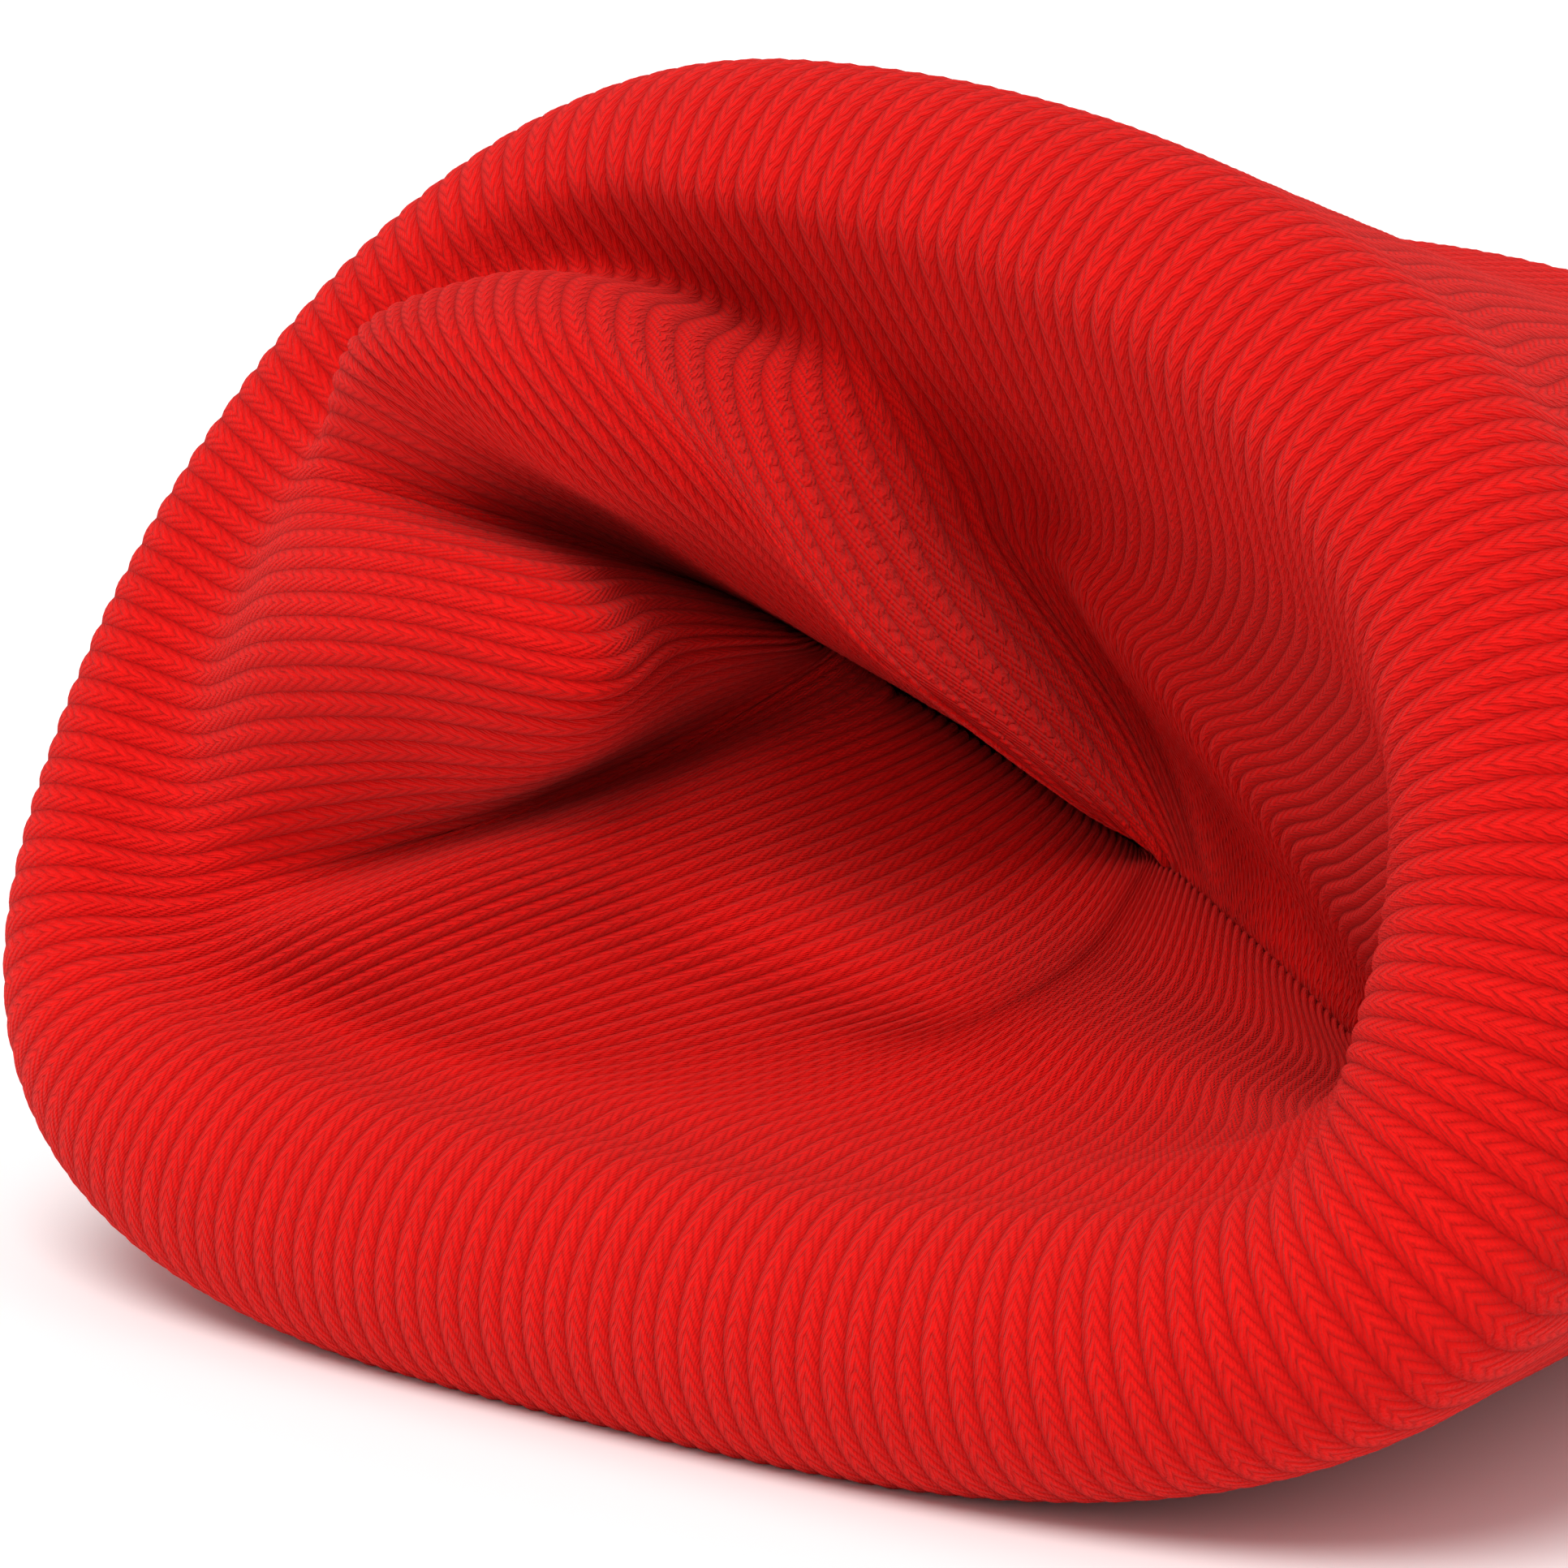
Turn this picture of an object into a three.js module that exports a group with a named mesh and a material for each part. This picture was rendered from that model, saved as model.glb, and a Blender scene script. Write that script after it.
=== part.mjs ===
// A double-layer knitted beanie with a turned-up cuff and a yarn pom pom, lying on its side.
// Millimetres, +Z up. The mouth faces -Y, the crown and the pom pom point to +Y, and Z = 0 is
// the surface that the hat rests on.
import * as THREE from 'three';

// Driving dimensions
const FABRIC = 2.4; // one layer of knit
const CUFF = 5; // the turned-up band, two layers
const ROLL_RADIUS = 12.5; // outside of the turned rim, measured from its centre line
const ROLL_START = 200; // degrees around the roll where its inner leg begins
const SEAT_GAP = 0.6; // between the cuff's free edge and the body under it
const BAND_BELLY = 0.8; // how much further the band stands off, midway between roll and edge
const TUCK = 3; // how far each layer sits from the centre line, inside the roll
const AROUND = 48; // steps around the hat

const HALF_WIDTH = 80; // of the mouth

const CUFF_EDGE_Y = 70; // free edge of the cuff, at the height CUFF_EDGE_Z
const CUFF_EDGE_Z = 48;
const CUFF_EDGE_SLOPE = 0.33; // how far the free edge leans back for each millimetre up
const CROWN_Y = 196; // where the crown is gathered
const CROWN_Z = 40; // height of the crown's gathered end, which lets the pom pom rest on the surface
const GATHER_RADIUS = 6; // hole left by the gathered stitches

const POM_RADIUS = 40;
const KNOT_RADIUS = 3;
const CORD_RADIUS = 1.3; // the tie cord, doubled
const BINDING_RADIUS = 3.4; // the cord's turns around the middle of the pom pom
const THREAD_RADIUS = 0.9; // drawn through the gathered stitches
const BORE_RADIUS = 4.2; // room among the yarn for the tie
const CLEARANCE = 0.4;

// Places along the tie, from inside the crown to the middle of the pom pom
const ANCHOR_KNOT_Y = CROWN_Y - 9;
const CROWN_KNOT_Y = CROWN_Y + 4.5;
const POM_KNOT_Y = CROWN_KNOT_Y + 2 * KNOT_RADIUS + CLEARANCE;
const POM_Y = POM_KNOT_Y + POM_RADIUS;

// Which way the mouth faces: forward, and up a little
const MOUTH = new THREE.Vector3(0, -0.9, 0.436).normalize();

// Centre line of the turned rim: its lowest, leftmost, highest and rightmost places as seen from the
// front, and how it leans back with height and to the left
const RIM_BOTTOM = { x: 0, z: 11 };
const RIM_LEFT = { x: -70, z: 42 };
const RIM_TOP = { x: -18, z: 98 };
const RIM_RIGHT = { x: 82, z: 45 };
const RIM_FRONT_Y = -23;
const RIM_LEAN = 0.5;
const RIM_SKEW = 0.05;
const LOWER_SQUARENESS = 3; // the lower quarters are squarer than ellipses
const UPPER_SQUARENESS = 2; // the upper quarters are ellipses

// Cross-sections of the body under and behind the cuff: y, half width, bottom and top
const BODY = [
  [56, 79, 5.6, 87.5],
  [74, 78.5, 2, 86.5],
  [92, 78, 0, 86],
  [110, 77, 0, 85.5],
  [134, 73, 0, 84],
  [155, 64, 2, 81],
  [171, 52, 8, 76],
  [183, 37, 14, 67],
  [191, 22, 23, 57],
  [195, 12, 30, 50],
  [CROWN_Y, GATHER_RADIUS, CROWN_Z - GATHER_RADIUS, CROWN_Z + GATHER_RADIUS],
];

// Cross-sections of the lining, from the throat between its folds, where it closes to a slanting
// slot, along the slack bag that lies flat behind them, to its gathered end: y, centre x and z,
// half length, half width and slant in degrees
const LINING_BAG = [
  [27, 4, 45, 46, 6, 25],
  [44, 4, 41, 48, 5, 20],
  [62, 3, 33, 50, 4.5, 10],
  [84, 2, 23, 48, 4.5, 0],
  [103, 0, 17, 36, 5, 0],
  [113, 0, 15, 21, 6, 0],
  [117, 0, 14.5, GATHER_RADIUS, GATHER_RADIUS, 0],
];
const FOLD_BULGE = 15; // how far the folds stand forward, midway between the rim and the throat
const FOLD_LEAN = 7; // how much further they stand on the left than on the right

const RED_KNIT = { color: 0xc8141a, roughness: 0.95, metalness: 0 };
const RED_YARN = { color: 0xd21a1c, roughness: 0.9, metalness: 0 };
const RED_THREAD = { color: 0xa81014, roughness: 0.8, metalness: 0 };

// Which way a skin's thickness grows from its rings
const TOWARD_INSIDE = 1;
const TOWARD_SHELL = -1;

// A point of the rim, clockwise in quarters: 0 is the lowest, 1 the leftmost, 2 the highest place
function rimPoint(place) {
  const quarter = Math.floor(place);
  const angle = ((place - quarter) * Math.PI) / 2;
  const lower = quarter === 0 || quarter === 3;
  const end = lower ? RIM_BOTTOM : RIM_TOP;
  const side = quarter < 2 ? RIM_LEFT : RIM_RIGHT;
  const leavesEnd = quarter % 2 === 0;
  const across = leavesEnd ? Math.sin(angle) : Math.cos(angle);
  const up = leavesEnd ? Math.cos(angle) : Math.sin(angle);
  const power = 2 / (lower ? LOWER_SQUARENESS : UPPER_SQUARENESS);
  const x = end.x + (side.x - end.x) * across ** power;
  const z = side.z + (end.z - side.z) * up ** power;
  const y = RIM_FRONT_Y + RIM_LEAN * (z - RIM_BOTTOM.z) - RIM_SKEW * x;
  return new THREE.Vector3(x, y, z);
}

const RIM_STEPS = 24;
const RIM = new THREE.CatmullRomCurve3(
  Array.from({ length: RIM_STEPS }, (_, i) => rimPoint((4 * i) / RIM_STEPS)),
  true,
);

// Even steps along the rim
const STATIONS = Array.from({ length: AROUND }, (_, i) => RIM.getUtoTmapping(i / AROUND));

// The direction that points away from the mouth, in the plane of the rim's cross-section
function outwardAt(t) {
  return new THREE.Vector3().crossVectors(MOUTH, RIM.getTangent(t)).normalize();
}

// A ring parallel to the rim's centre line, moved outward and forward
function rimRing(outward, forward) {
  return STATIONS.map((t) => {
    const point = RIM.getPoint(t);
    point.addScaledVector(outwardAt(t), outward);
    return point.addScaledVector(MOUTH, forward);
  });
}

function rollRing(degrees) {
  const angle = THREE.MathUtils.degToRad(degrees);
  return rimRing(ROLL_RADIUS * Math.cos(angle), ROLL_RADIUS * Math.sin(angle));
}

// An oval that is rounder on top than where it rests, with even steps from the bottom centre
function ovalRing(y, centreX, halfWidth, bottom, top) {
  const middle = bottom + 0.46 * (top - bottom);
  const outline = [];
  for (let i = 0; i < 96; i += 1) {
    const angle = -Math.PI / 2 - (2 * Math.PI * i) / 96;
    const across = Math.cos(angle);
    const up = Math.sin(angle);
    const squareness = up < 0 ? 0.72 : 0.88;
    const height = up < 0 ? middle - bottom : top - middle;
    const x = centreX + halfWidth * Math.sign(across) * Math.abs(across) ** squareness;
    const z = middle + height * Math.sign(up) * Math.abs(up) ** squareness;
    outline.push(new THREE.Vector3(x, y, z));
  }
  return new THREE.CatmullRomCurve3(outline, true).getSpacedPoints(AROUND).slice(0, AROUND);
}

const bodyRing = ([y, halfWidth, bottom, top]) => ovalRing(y, 0, halfWidth, bottom, top);

// An oval that slants down to the right, with even steps from its bottom centre
function slantedRing([y, centreX, centreZ, halfLength, halfWidth, slant]) {
  const oval = new THREE.EllipseCurve(0, 0, halfLength, halfWidth, -Math.PI / 2, -2.5 * Math.PI, true);
  const turn = THREE.MathUtils.degToRad(-slant);
  return oval.getSpacedPoints(AROUND).slice(0, AROUND).map((point) => {
    point.rotateAround(new THREE.Vector2(), turn);
    return new THREE.Vector3(centreX + point.x, y, centreZ + point.y);
  });
}

function between(ringA, ringB, share) {
  return ringA.map((point, i) => point.clone().lerp(ringB[i], share));
}

// Unit normals of a skin of rings, on the side that the thickness grows toward
function skinNormals(rings) {
  const last = rings.length - 1;
  return rings.map((ring, k) =>
    ring.map((_, i) => {
      const before = (i + AROUND - 1) % AROUND;
      const after = (i + 1) % AROUND;
      const along = rings[Math.min(k + 1, last)][i].clone().sub(rings[Math.max(k - 1, 0)][i]);
      const around = ring[after].clone().sub(ring[before]);
      return along.cross(around).normalize();
    }),
  );
}

// A closed solid from a skin of rings: the skin, a copy of it set back by the thickness, and a
// rounded edge at each end
function thicken(rings, thickness, side) {
  const normals = skinNormals(rings);
  const setBack = rings.map((ring, k) =>
    ring.map((point, i) => point.clone().addScaledVector(normals[k][i], side * thickness)),
  );
  const edge = (end, inner) => {
    const middle = between(rings[end], setBack[end], 0.5);
    const next = between(rings[inner], setBack[inner], 0.5);
    return middle.map((point, i) => {
      const outward = point.clone().sub(next[i]).normalize();
      return point.clone().addScaledVector(outward, 0.3 * thickness);
    });
  };
  const last = rings.length - 1;
  const loop = [edge(0, 1), ...rings, edge(last, last - 1), ...setBack.reverse()];
  loop.forEach((ring) => ring.forEach((point) => point.setZ(Math.max(point.z, 0))));
  return loop;
}

// Triangles over a closed loop of rings
function solidOfRings(loop) {
  const positions = loop.flatMap((ring) => ring.flatMap((point) => point.toArray()));
  const faces = [];
  loop.forEach((_, k) => {
    const next = (k + 1) % loop.length;
    for (let i = 0; i < AROUND; i += 1) {
      const after = (i + 1) % AROUND;
      const a = k * AROUND + i;
      const b = k * AROUND + after;
      const c = next * AROUND + after;
      const d = next * AROUND + i;
      faces.push(a, b, c, a, c, d);
    }
  });
  const geometry = new THREE.BufferGeometry();
  geometry.setAttribute('position', new THREE.Float32BufferAttribute(positions, 3));
  geometry.setIndex(faces);
  if (signedVolume(geometry) < 0) {
    geometry.setIndex(faces.reverse());
  }
  geometry.computeVertexNormals();
  return geometry;
}

function signedVolume(geometry) {
  const position = geometry.getAttribute('position');
  const index = geometry.getIndex();
  const corner = [0, 1, 2].map(() => new THREE.Vector3());
  let volume = 0;
  for (let f = 0; f < index.count; f += 3) {
    corner.forEach((point, j) => point.fromBufferAttribute(position, index.getX(f + j)));
    volume += corner[0].dot(corner[1].clone().cross(corner[2])) / 6;
  }
  return volume;
}

function piece(name, geometry, look) {
  const mesh = new THREE.Mesh(geometry, new THREE.MeshStandardMaterial(look));
  mesh.name = name;
  return mesh;
}

// The outside of the outer layer: from inside the roll, under the cuff, to the gathered crown
function shellSkin() {
  const front = rimRing(TUCK + FABRIC / 2, 0);
  const sections = BODY.map(bodyRing);
  const underCuff = [0, 0.25, 0.5, 0.75].map((share) => between(front, sections[0], share));
  return [...underCuff, ...sections];
}

const outerShell = () =>
  piece('outer_shell', solidOfRings(thicken(shellSkin(), FABRIC, TOWARD_INSIDE)), RED_KNIT);

// A ring over the outside of the body, lifted off it, at a share of the way from the roll to the
// cuff's free edge, which crosses the body where it meets the edge's plane
function ringOverShell(skin, share, lift) {
  const normals = skinNormals(skin);
  const beyond = (point) => point.y - CUFF_EDGE_Y - CUFF_EDGE_SLOPE * (point.z - CUFF_EDGE_Z);
  return STATIONS.map((_, i) => {
    const after = skin.findIndex((ring) => beyond(ring[i]) > 0);
    const before = beyond(skin[after - 1][i]);
    const crossing = after - 1 + before / (before - beyond(skin[after][i]));
    const place = share * crossing;
    const k = Math.floor(place);
    const point = skin[k][i].clone().lerp(skin[k + 1][i], place - k);
    const inward = normals[k][i].clone().lerp(normals[k + 1][i], place - k).normalize();
    return point.addScaledVector(inward, -lift);
  });
}

// The turned-up band: the roll around the rim and the band back to its free edge
function cuffBand() {
  const roll = [];
  for (let degrees = ROLL_START; degrees >= 0; degrees -= 25) {
    roll.push(rollRing(degrees));
  }
  const skin = shellSkin();
  const liftAtRoll = ROLL_RADIUS - TUCK - FABRIC / 2;
  const band = [0.2, 0.4, 0.6, 0.8, 1].map((share) => {
    const lift = THREE.MathUtils.lerp(liftAtRoll, SEAT_GAP + CUFF, share);
    return ringOverShell(skin, share, lift + BAND_BELLY * Math.sin(Math.PI * share));
  });
  return piece('cuff_band', solidOfRings(thicken([...roll, ...band], CUFF, TOWARD_INSIDE)), RED_KNIT);
}

// The inner layer: from inside the roll, over the bunched folds to the throat, and the slack bag
// behind them to its own gathered end
function lining() {
  const tuckedEdge = rimRing(-TUCK - FABRIC / 2, 0);
  const underRoll = rimRing(-TUCK - FABRIC, -6);
  const groove = rimRing(-ROLL_RADIUS + 1, -9.5);
  const bag = LINING_BAG.map(slantedRing);
  const folds = [0.2, 0.4, 0.6, 0.8].map((share) =>
    between(groove, bag[0], share).map((point, i) => {
      const left = -groove[i].x / HALF_WIDTH;
      const bulge = (FOLD_BULGE + FOLD_LEAN * left) * Math.sin(Math.PI * share);
      return point.addScaledVector(MOUTH, bulge);
    }),
  );
  const rings = [tuckedEdge, underRoll, groove, ...folds, ...bag];
  return piece('lining', solidOfRings(thicken(rings, FABRIC, TOWARD_SHELL)), RED_KNIT);
}

// A round piece on the tie's axis, from a profile of radius and y
function turnedPiece(name, profile, look, steps = 20) {
  const points = profile.map(([radius, y]) => new THREE.Vector2(radius, y));
  const mesh = piece(name, new THREE.LatheGeometry(points, steps), look);
  mesh.position.z = CROWN_Z;
  return mesh;
}

function arcProfile(centreY, radius, fromDegrees, toDegrees, steps) {
  return Array.from({ length: steps + 1 }, (_, i) => {
    const angle = THREE.MathUtils.degToRad(fromDegrees + ((toDegrees - fromDegrees) * i) / steps);
    return [Math.abs(radius * Math.sin(angle)), centreY - radius * Math.cos(angle)];
  });
}

const knot = (name, y, radius) => turnedPiece(name, arcProfile(y, radius, 0, 180, 8), RED_YARN, 14);

function cord(name, fromY, toY) {
  const profile = [[0, fromY], [CORD_RADIUS, fromY], [CORD_RADIUS, toY], [0, toY]];
  return turnedPiece(name, profile, RED_YARN, 12);
}

// A ring of thread around the tie's direction
function threadRing(name, y, z, radius, thickness, look) {
  const mesh = piece(name, new THREE.TorusGeometry(radius, thickness, 8, 20), look);
  mesh.rotation.x = Math.PI / 2;
  mesh.position.set(0, y, z);
  return mesh;
}

// The yarn ball, with the narrow room that the tie takes up in it
function pomPom() {
  const boreDegrees = THREE.MathUtils.radToDeg(Math.asin(BORE_RADIUS / POM_RADIUS));
  const outside = arcProfile(POM_Y, POM_RADIUS, boreDegrees, 180, 20);
  const middle = BINDING_RADIUS + CORD_RADIUS + CLEARANCE;
  const depth = CORD_RADIUS + CLEARANCE;
  const room = [
    [0, POM_Y + depth],
    [middle, POM_Y + depth],
    [middle, POM_Y - depth],
    [BORE_RADIUS, POM_Y - depth],
  ];
  return turnedPiece('pom_pom', [...room, ...outside], RED_YARN, 30);
}

const gatherRing = GATHER_RADIUS - 2 * (THREAD_RADIUS + CLEARANCE);
const crownThread = ['crown_gather_thread', CROWN_Y - FABRIC / 2, CROWN_Z];
const liningEnd = LINING_BAG[LINING_BAG.length - 1];
const liningThread = ['lining_gather_thread', liningEnd[0] + FABRIC / 2, liningEnd[2]];

const beanie = new THREE.Group();
beanie.add(
  outerShell(),
  cuffBand(),
  lining(),
  threadRing(...crownThread, gatherRing, THREAD_RADIUS, RED_THREAD),
  threadRing(...liningThread, gatherRing, THREAD_RADIUS, RED_THREAD),
  knot('anchor_knot', ANCHOR_KNOT_Y, KNOT_RADIUS + 1),
  cord('tie_shank', ANCHOR_KNOT_Y + KNOT_RADIUS + 1 + CLEARANCE, CROWN_KNOT_Y - KNOT_RADIUS - CLEARANCE),
  knot('crown_side_knot', CROWN_KNOT_Y, KNOT_RADIUS),
  knot('pom_side_knot', POM_KNOT_Y, KNOT_RADIUS),
  cord('tie_tails', POM_KNOT_Y + KNOT_RADIUS + CLEARANCE, POM_Y + CORD_RADIUS),
  threadRing('binding_cord', POM_Y, CROWN_Z, BINDING_RADIUS, CORD_RADIUS, RED_YARN),
  pomPom(),
);

export default beanie;
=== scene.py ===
"""A red, double-layer knitted beanie on its side, cuff turned up, lining bunched in the mouth,
and a yarn pom pom tied to its gathered crown. Shapes are worked out in millimetres."""

import math

import bpy
import numpy as np
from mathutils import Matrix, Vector


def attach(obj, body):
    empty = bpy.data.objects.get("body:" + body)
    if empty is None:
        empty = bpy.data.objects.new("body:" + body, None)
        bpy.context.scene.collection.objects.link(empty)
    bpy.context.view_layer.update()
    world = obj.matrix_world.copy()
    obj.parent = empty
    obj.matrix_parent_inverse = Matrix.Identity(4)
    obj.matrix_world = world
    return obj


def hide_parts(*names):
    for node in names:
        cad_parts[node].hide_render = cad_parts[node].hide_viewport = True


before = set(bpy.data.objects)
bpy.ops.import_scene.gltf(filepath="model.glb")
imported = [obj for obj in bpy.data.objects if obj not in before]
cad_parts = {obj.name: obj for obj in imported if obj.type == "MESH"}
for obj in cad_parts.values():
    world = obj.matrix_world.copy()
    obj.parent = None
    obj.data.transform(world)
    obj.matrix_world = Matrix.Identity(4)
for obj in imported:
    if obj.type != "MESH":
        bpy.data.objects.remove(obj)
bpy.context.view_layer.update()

MM = 0.001

# The camera: degrees and metres
CAMERA_AZIMUTH = 38
CAMERA_ELEVATION = 10
CAMERA_DISTANCE = 0.52
CAMERA_AIM = (0, 0, 0.05)
FRAME_WIDTH = 0.13524  # what the picture's width shows at the aim
SENSOR_WIDTH = 36  # in millimetres, as Blender takes it
NEAREST, FURTHEST = 0.01, 20

# The light: degrees, and the strengths of the sun and the white sky
SUN_AZIMUTH = 15
SUN_ELEVATION = 58
SUN_SPREAD = 35
SUN_STRENGTH = 2.1
SKY_STRENGTH = 0.7

# The floor: half its side in metres, and its shade
FLOOR_REACH = 9
FLOOR_WHITE = 0.93

RNG = np.random.default_rng(7)

# The knit
WALES = 168  # columns of stitches around the hat
WALE = 2.3  # width of one column where the knit isn't stretched
COURSE = 1.65  # height of one stitch
RIDGE = 0.3  # how far a column of stitches stands out from the grooves beside it
BEAD = 0.07  # how far each stitch of a column stands out from the next
LEG_SLANT = 1.6  # how many stitches a leg drops on its way to the middle of the column
WALE_STEPS = 4  # mesh steps across one column of stitches
COURSE_STEPS = 2  # mesh steps along one stitch
CROWDING_POWER = 1.5  # how strongly crowded columns stand up
CROWDING_LIMITS = (0.5, 1.5)
RIDGE_POWER = 0.7  # under 1, for ridges that are rounder than a sine
# Courses on the underside of each layer, whose outward normals at the lowest column point down
LINING_UNDERSIDE = 25
BODY_UNDERSIDE = 30

# How finely the shapes are worked out, and how much of each column shows
CURVE_STEPS = 12  # steps from one given point to the next
OVAL_STEPS = 720
VISIBLE_LENGTH = 205  # of every column, from its end under the hem to out of sight between the folds
HIDDEN_ROWS = 16  # for what is left of the column, in the slack bag

# The turned-up cuff, as the CAD has it
FABRIC = 2.4
CUFF = 5
ROLL_RADIUS = 12.5
SEAT_GAP = 0.6
BAND_BELLY = 0.8
HEM_TUCKS = (12, 5)  # how far in from the cuff's hem the knit's hidden end lies, under the cuff
EDGE_REACH = 4  # dense rows to each side of the cuff's edge that its direction is taken from
TUCK = 3
CUFF_EDGE_Y = 70
CUFF_EDGE_Z = 48
CUFF_EDGE_SLOPE = 0.33
CROWN_Y = 196
CROWN_Z = 40
GATHER_RADIUS = 6
MOUTH = np.array([0, -0.9, 0.436])
MOUTH = MOUTH / np.linalg.norm(MOUTH)

# The pom pom and its tie, as the CAD has them
POM_RADIUS = 40
KNOT_RADIUS = 3
CORD_RADIUS = 1.3
BINDING_RADIUS = 3.4
THREAD_RADIUS = 0.9
CLEARANCE = 0.4
TIE_ROOM = 4.2
ANCHOR_KNOT_Y = CROWN_Y - 9
CROWN_KNOT_Y = CROWN_Y + 4.5
POM_KNOT_Y = CROWN_KNOT_Y + 2 * KNOT_RADIUS + CLEARANCE
LINING_END_Y = 117
LINING_END_Z = 14.5
CORE_SIDES = 48
CORE_FLOOR = 1.7  # how far past the pom pom's middle the room for the tie goes
POM_CORE = 31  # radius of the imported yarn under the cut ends
STRANDS = 8800
STRAND_END = 0.95  # the yarn's radius where it is cut, and loosest
STRAND_RADII = np.array([0.65, 0.75, 0.85, STRAND_END])
STRAND_ROOT = 4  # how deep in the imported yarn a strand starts
STRAND_SCATTER = 0.008  # how far a strand's direction strays from an even spread
LENGTH_SPREAD = 0.022
LENGTH_LIMITS = (-0.05, 0.045)
CURL_LIMITS = (0.2, 1.5)
CORE_RINGS = 24
CORE_POLE = 0.05  # angle from the core's last ring to its far pole
CORD_PITCH = 5  # length of one twist of a cord, in radii
CORD_STEP = 0.4
CORD_SIDES = 8
THREAD_SIDES = 6
RING_POINTS = 160
RING_TWISTS = 14
KNOT_POINTS = 120
KNOT_STRAND = 0.34  # radius of a knot's strand, as a share of the knot's
STITCH_WAVES = 9  # how many times a gather thread goes in and out of the knit
WAVE_DEPTH = 0.25

# Centre line of the turned rim: x and z of its lowest, leftmost, highest and rightmost places as seen
# from the front, and how it leans back with height and to the left
RIM_BOTTOM = (0, 11)
RIM_LEFT = (-70, 42)
RIM_TOP = (-18, 98)
RIM_RIGHT = (82, 45)
RIM_FRONT_Y = -23
RIM_LEAN = 0.5
RIM_SKEW = 0.05
LOWER_SQUARENESS = 3
UPPER_SQUARENESS = 2
TANGENT_REACH = 0.02  # how far to each side, in places, the rim's direction is taken from

# Ovals of the body: where they are widest, as a share of their height from the bottom, and the powers
# that square off their lower and upper halves
WIDEST = 0.46
LOWER_POWER = 0.72
UPPER_POWER = 0.88

# Cross-sections of the body under and behind the cuff: y, half width, bottom and top
BODY = [
    (56, 79, 5.6, 87.5), (74, 78.5, 2, 86.5), (92, 78, 0, 86), (110, 77, 0, 85.5),
    (134, 73, 0, 84), (155, 64, 2, 81), (171, 52, 8, 76), (183, 37, 14, 67),
    (191, 22, 23, 57), (195, 12, 30, 50),
    (CROWN_Y, GATHER_RADIUS, CROWN_Z - GATHER_RADIUS, CROWN_Z + GATHER_RADIUS),
]
FIRST_SHELL_ROW = 3  # the first of the shell's rows that the outer layer is drawn from

# The slot between the folds where the lining goes out of sight: its middle, half its length and how
# far its left end is turned up, in degrees
THROAT = np.array([4, 27, 45])
THROAT_HALF_LENGTH = 44
THROAT_SLANT = 25

# The lining's crests and creases, clockwise in quarters of the rim from its lowest place. Each has
# its place on the rim, the point where it stands furthest into the mouth, how far the knit swells
# forward on the way there, and its place along the throat from the left end (-1) to the right (1)
FOLD_LINES = [
    (0.00, (18, 7, 31), -2, 0.25),  # foot of the lower panel
    (0.30, (-8, 1, 38), 0, -0.1),  # middle of the lower panel
    (0.65, (-20, -2, 45), 2, -0.4),  # left end of the lower panel
    (0.92, (-34, 3, 44), 0, -0.6),  # crease under the lobe
    (1.04, (-16, -9, 53), 5, -0.6),  # underside of the lobe
    (1.15, (-11, -12, 61), 9, -0.65),  # the lobe
    (1.24, (-19, -9, 68), 7, -0.8),  # top of the lobe
    (1.34, (-36, 2, 70), 4, -0.85),  # crease between lobe and roll
    (1.46, (-32, -4, 77), 10, -0.7),  # left end of the roll
    (1.70, (-15, -10, 77), 14, -0.45),  # the roll
    (1.92, (1, -6, 74), 13, -0.1),  # its right shoulder
    (2.03, (9, 4, 62), 9, 0.2),  # its right end, low in the mouth
    (2.10, (0, 28, 68), -2, 0.36),  # crease between roll and wall
    (2.17, (4, 31, 68), -4, 0.42),  # left edge of the wall, behind the roll
    (2.30, (13, 27, 64), -4, 0.5),  # the wall
    (2.50, (24, 25, 56), -4, 0.62),  # middle of the wall
    (2.75, (38, 23, 44), -1, 0.85),  # right part of the wall
    (3.05, (51, 18, 32), 1, 1),  # where it meets the lower panel
    (3.40, (50, 10, 27), -2, 0.85),  # right end of the lower panel
    (3.75, (35, 9, 28), -3, 0.55),
]
THROAT_DEPTH = 9  # how much deeper the throat is in the middle than at its ends
ROUNDNESS = 0.9  # how full a fold is past its crest, as a share of its swell
TURN_BACK = 2
# Two rows between groove and crest: how far along they are, and how much of the swell they have
START_SHARE, START_SWELL = 0.3, 0.85
SWELL_SHARE, SWELL_SWELL = 0.65, 0.9
TURN_SHARE = 0.5  # how far from crest to throat the fold turns in

# How tightly the rim is rolled at places along it, through how many degrees it turns before it runs
# on into the folds, and how far in and forward from its centre line the groove behind it lies
ROLL_PLACES = [0, 0.4, 0.8, 1.1, 1.35, 1.55, 1.75, 2, 2.4, 2.75, 3.1, 3.4, 3.7]
ROLL_RADII = [12, 11.5, 9, 8, 7, 8, 10, 12.5, 12.5, 13, 12.5, 11, 12]
ROLL_TURNS = [170, 170, 150, 125, 100, 95, 105, 110, 110, 125, 160, 165, 170]
GROOVES = [15, 13, 9, 5, 3, 3, 5, 10, 14, 15, 16, 16, 15]
GROOVE_RISES = [-3, -2, 2, 6, 7, 6, 4, -2, -4, -4, -3, -3, -3]

# Rings of the lining's slack bag, from the throat to its gathered end: y, centre x and z, half length,
# half width and slant in degrees
SLACK_BAG = [
    (44, 4, 41, 48, 5, 20), (62, 3, 33, 50, 4.5, 10), (84, 2, 23, 48, 4.5, 0),
    (103, 0, 17, 36, 5, 0), (113, 0, 15, 21, 6, 0), (117, 0, 14.5, 6, 6, 0),
]
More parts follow.
